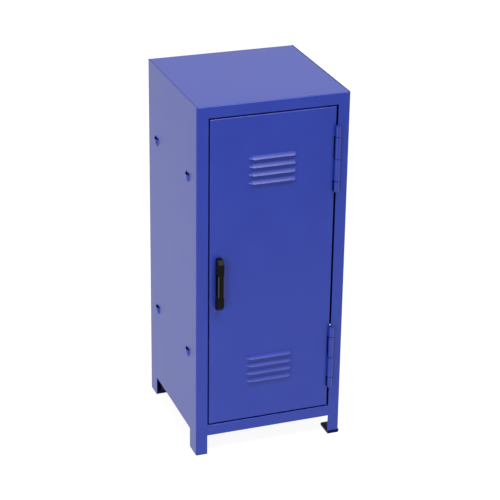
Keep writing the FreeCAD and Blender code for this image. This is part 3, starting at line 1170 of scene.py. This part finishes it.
table_finish, tree, shader, place = new_finish("backlit_white_acrylic")
split = add_node(tree, "ShaderNodeSeparateXYZ", inputs={"Vector": place})
fade = add_node(
    tree, "ShaderNodeMapRange", {"interpolation_type": "SMOOTHSTEP"},
    {"Value": split.outputs["Y"], "From Min": dim_from, "From Max": bright_from},
)
tone = add_node(
    tree, "ShaderNodeMix", {"data_type": "RGBA"},
    {"Factor": fade.outputs["Result"], "A": linear("#B4B4B4"), "B": linear("#FFFFFF")},
)
tree.links.new(tone.outputs["Result"], shader.inputs["Emission Color"])
shader.inputs["Emission Strength"].default_value = table_power
shader.inputs["Base Color"].default_value = linear("#606060")
shader.inputs["Roughness"].default_value = table_roughness
shader.inputs["Specular IOR Level"].default_value = 0.0

bpy.ops.object.select_all(action="DESELECT")
bpy.ops.mesh.primitive_plane_add(size=table_size)
table = bpy.context.active_object
table.name = "light_table"
table.data.materials.append(table_finish)
print("table of", table_finish.name)

# %% [markdown]
# ### The surround
#
# Round the table the studio is white behind the locker and dim behind the camera. At a slant the satin coat
# mirrors the bright part, which is why the side and the top look paler than the door. The light of each
# direction comes from how far it points to the back.

# %% Light the surround
surround_dim, surround_bright = 0.1, 0.97
bright_side = (0.0, 1.0, 0.0)
dim_until, bright_past = -0.75, -0.2

surround = bpy.data.worlds.new("white_surround")
surround.use_nodes = True
tree = surround.node_tree
tree.nodes.clear()
way = add_node(tree, "ShaderNodeTexCoord").outputs["Generated"]
slant = add_node(tree, "ShaderNodeVectorMath", {"operation": "DOT_PRODUCT"})
tree.links.new(way, slant.inputs[0])
slant.inputs[1].default_value = bright_side
glow = add_node(
    tree, "ShaderNodeMapRange",
    inputs={
        "Value": slant.outputs["Value"], "From Min": dim_until, "From Max": bright_past,
        "To Min": surround_dim, "To Max": surround_bright,
    },
)
sky = add_node(tree, "ShaderNodeBackground", inputs={"Strength": glow.outputs["Result"]})
sky.inputs["Color"].default_value = linear("#FFFFFF")
add_node(tree, "ShaderNodeOutputWorld", inputs={"Surface": sky.outputs["Background"]})
bpy.context.scene.world = surround
print("surround from", surround_dim, "in front to", surround_bright, "behind")

# %% [markdown]
# ### The lamps
#
# Three soft lamps point at the middle of the locker. A wide one overhead draws the shadows under the louvers,
# one at the left those beside the handle, and a weak one at the right is mirrored by the louvers' ramps.
# Each has a place, a width and a height in metres and a power in watts.

# %% Hang the lamps
lamps = (
    ("overhead_softbox", Vector((0.25, -2.0, 4.2)), 2.0, 1.0, 165),
    ("left_softbox", Vector((-2.1, -2.1, 0.8)), 0.9, 0.9, 44),
    ("right_softbox", Vector((1.0, -2.3, 2.1)), 1.0, 1.8, 6.5),
)
cabinet_middle = Vector((0, 0, top / 2))
for name, place, across, down, power in lamps:
    bpy.ops.object.light_add(type="AREA", location=place)
    lamp = bpy.context.active_object
    lamp.name = name
    lamp.data.shape = "RECTANGLE"
    lamp.data.size = across
    lamp.data.size_y = down
    lamp.data.energy = power
    lamp.rotation_mode = "QUATERNION"
    lamp.rotation_quaternion = (cabinet_middle - place).to_track_quat("-Z", "Y")
    print(name, power, "W,", across, "by", down, "m")

# %% [markdown]
# ## The camera
#
# The photograph's camera stands to the left and above, three and a half metres from the locker, with a long
# lens, and it is turned by less than a degree about its own axis. Its place was worked out from the corners
# of the cabinet in the picture.

# %% Set the camera
picture_pixels = 500
focal_pixels = 1778.6
sensor_width = 36
camera_place = Vector((-1092.4, -3007.0, 1790.5)) * mm
yaw, pitch, roll = math.radians(20.097), math.radians(24.080), math.radians(0.834)

bpy.ops.object.camera_add()
camera = bpy.context.active_object
camera.name = "reference_camera"
camera.data.sensor_width = sensor_width
camera.data.lens = sensor_width * focal_pixels / picture_pixels
turn = Matrix.Rotation(-yaw, 4, "Z") @ Matrix.Rotation(math.pi / 2 - pitch, 4, "X")
camera.matrix_world = Matrix.Translation(camera_place) @ turn @ Matrix.Rotation(roll, 4, "Z")
bpy.context.scene.camera = camera
bpy.context.scene.view_settings.view_transform = "Standard"
print("lens", round(camera.data.lens, 1), "mm")
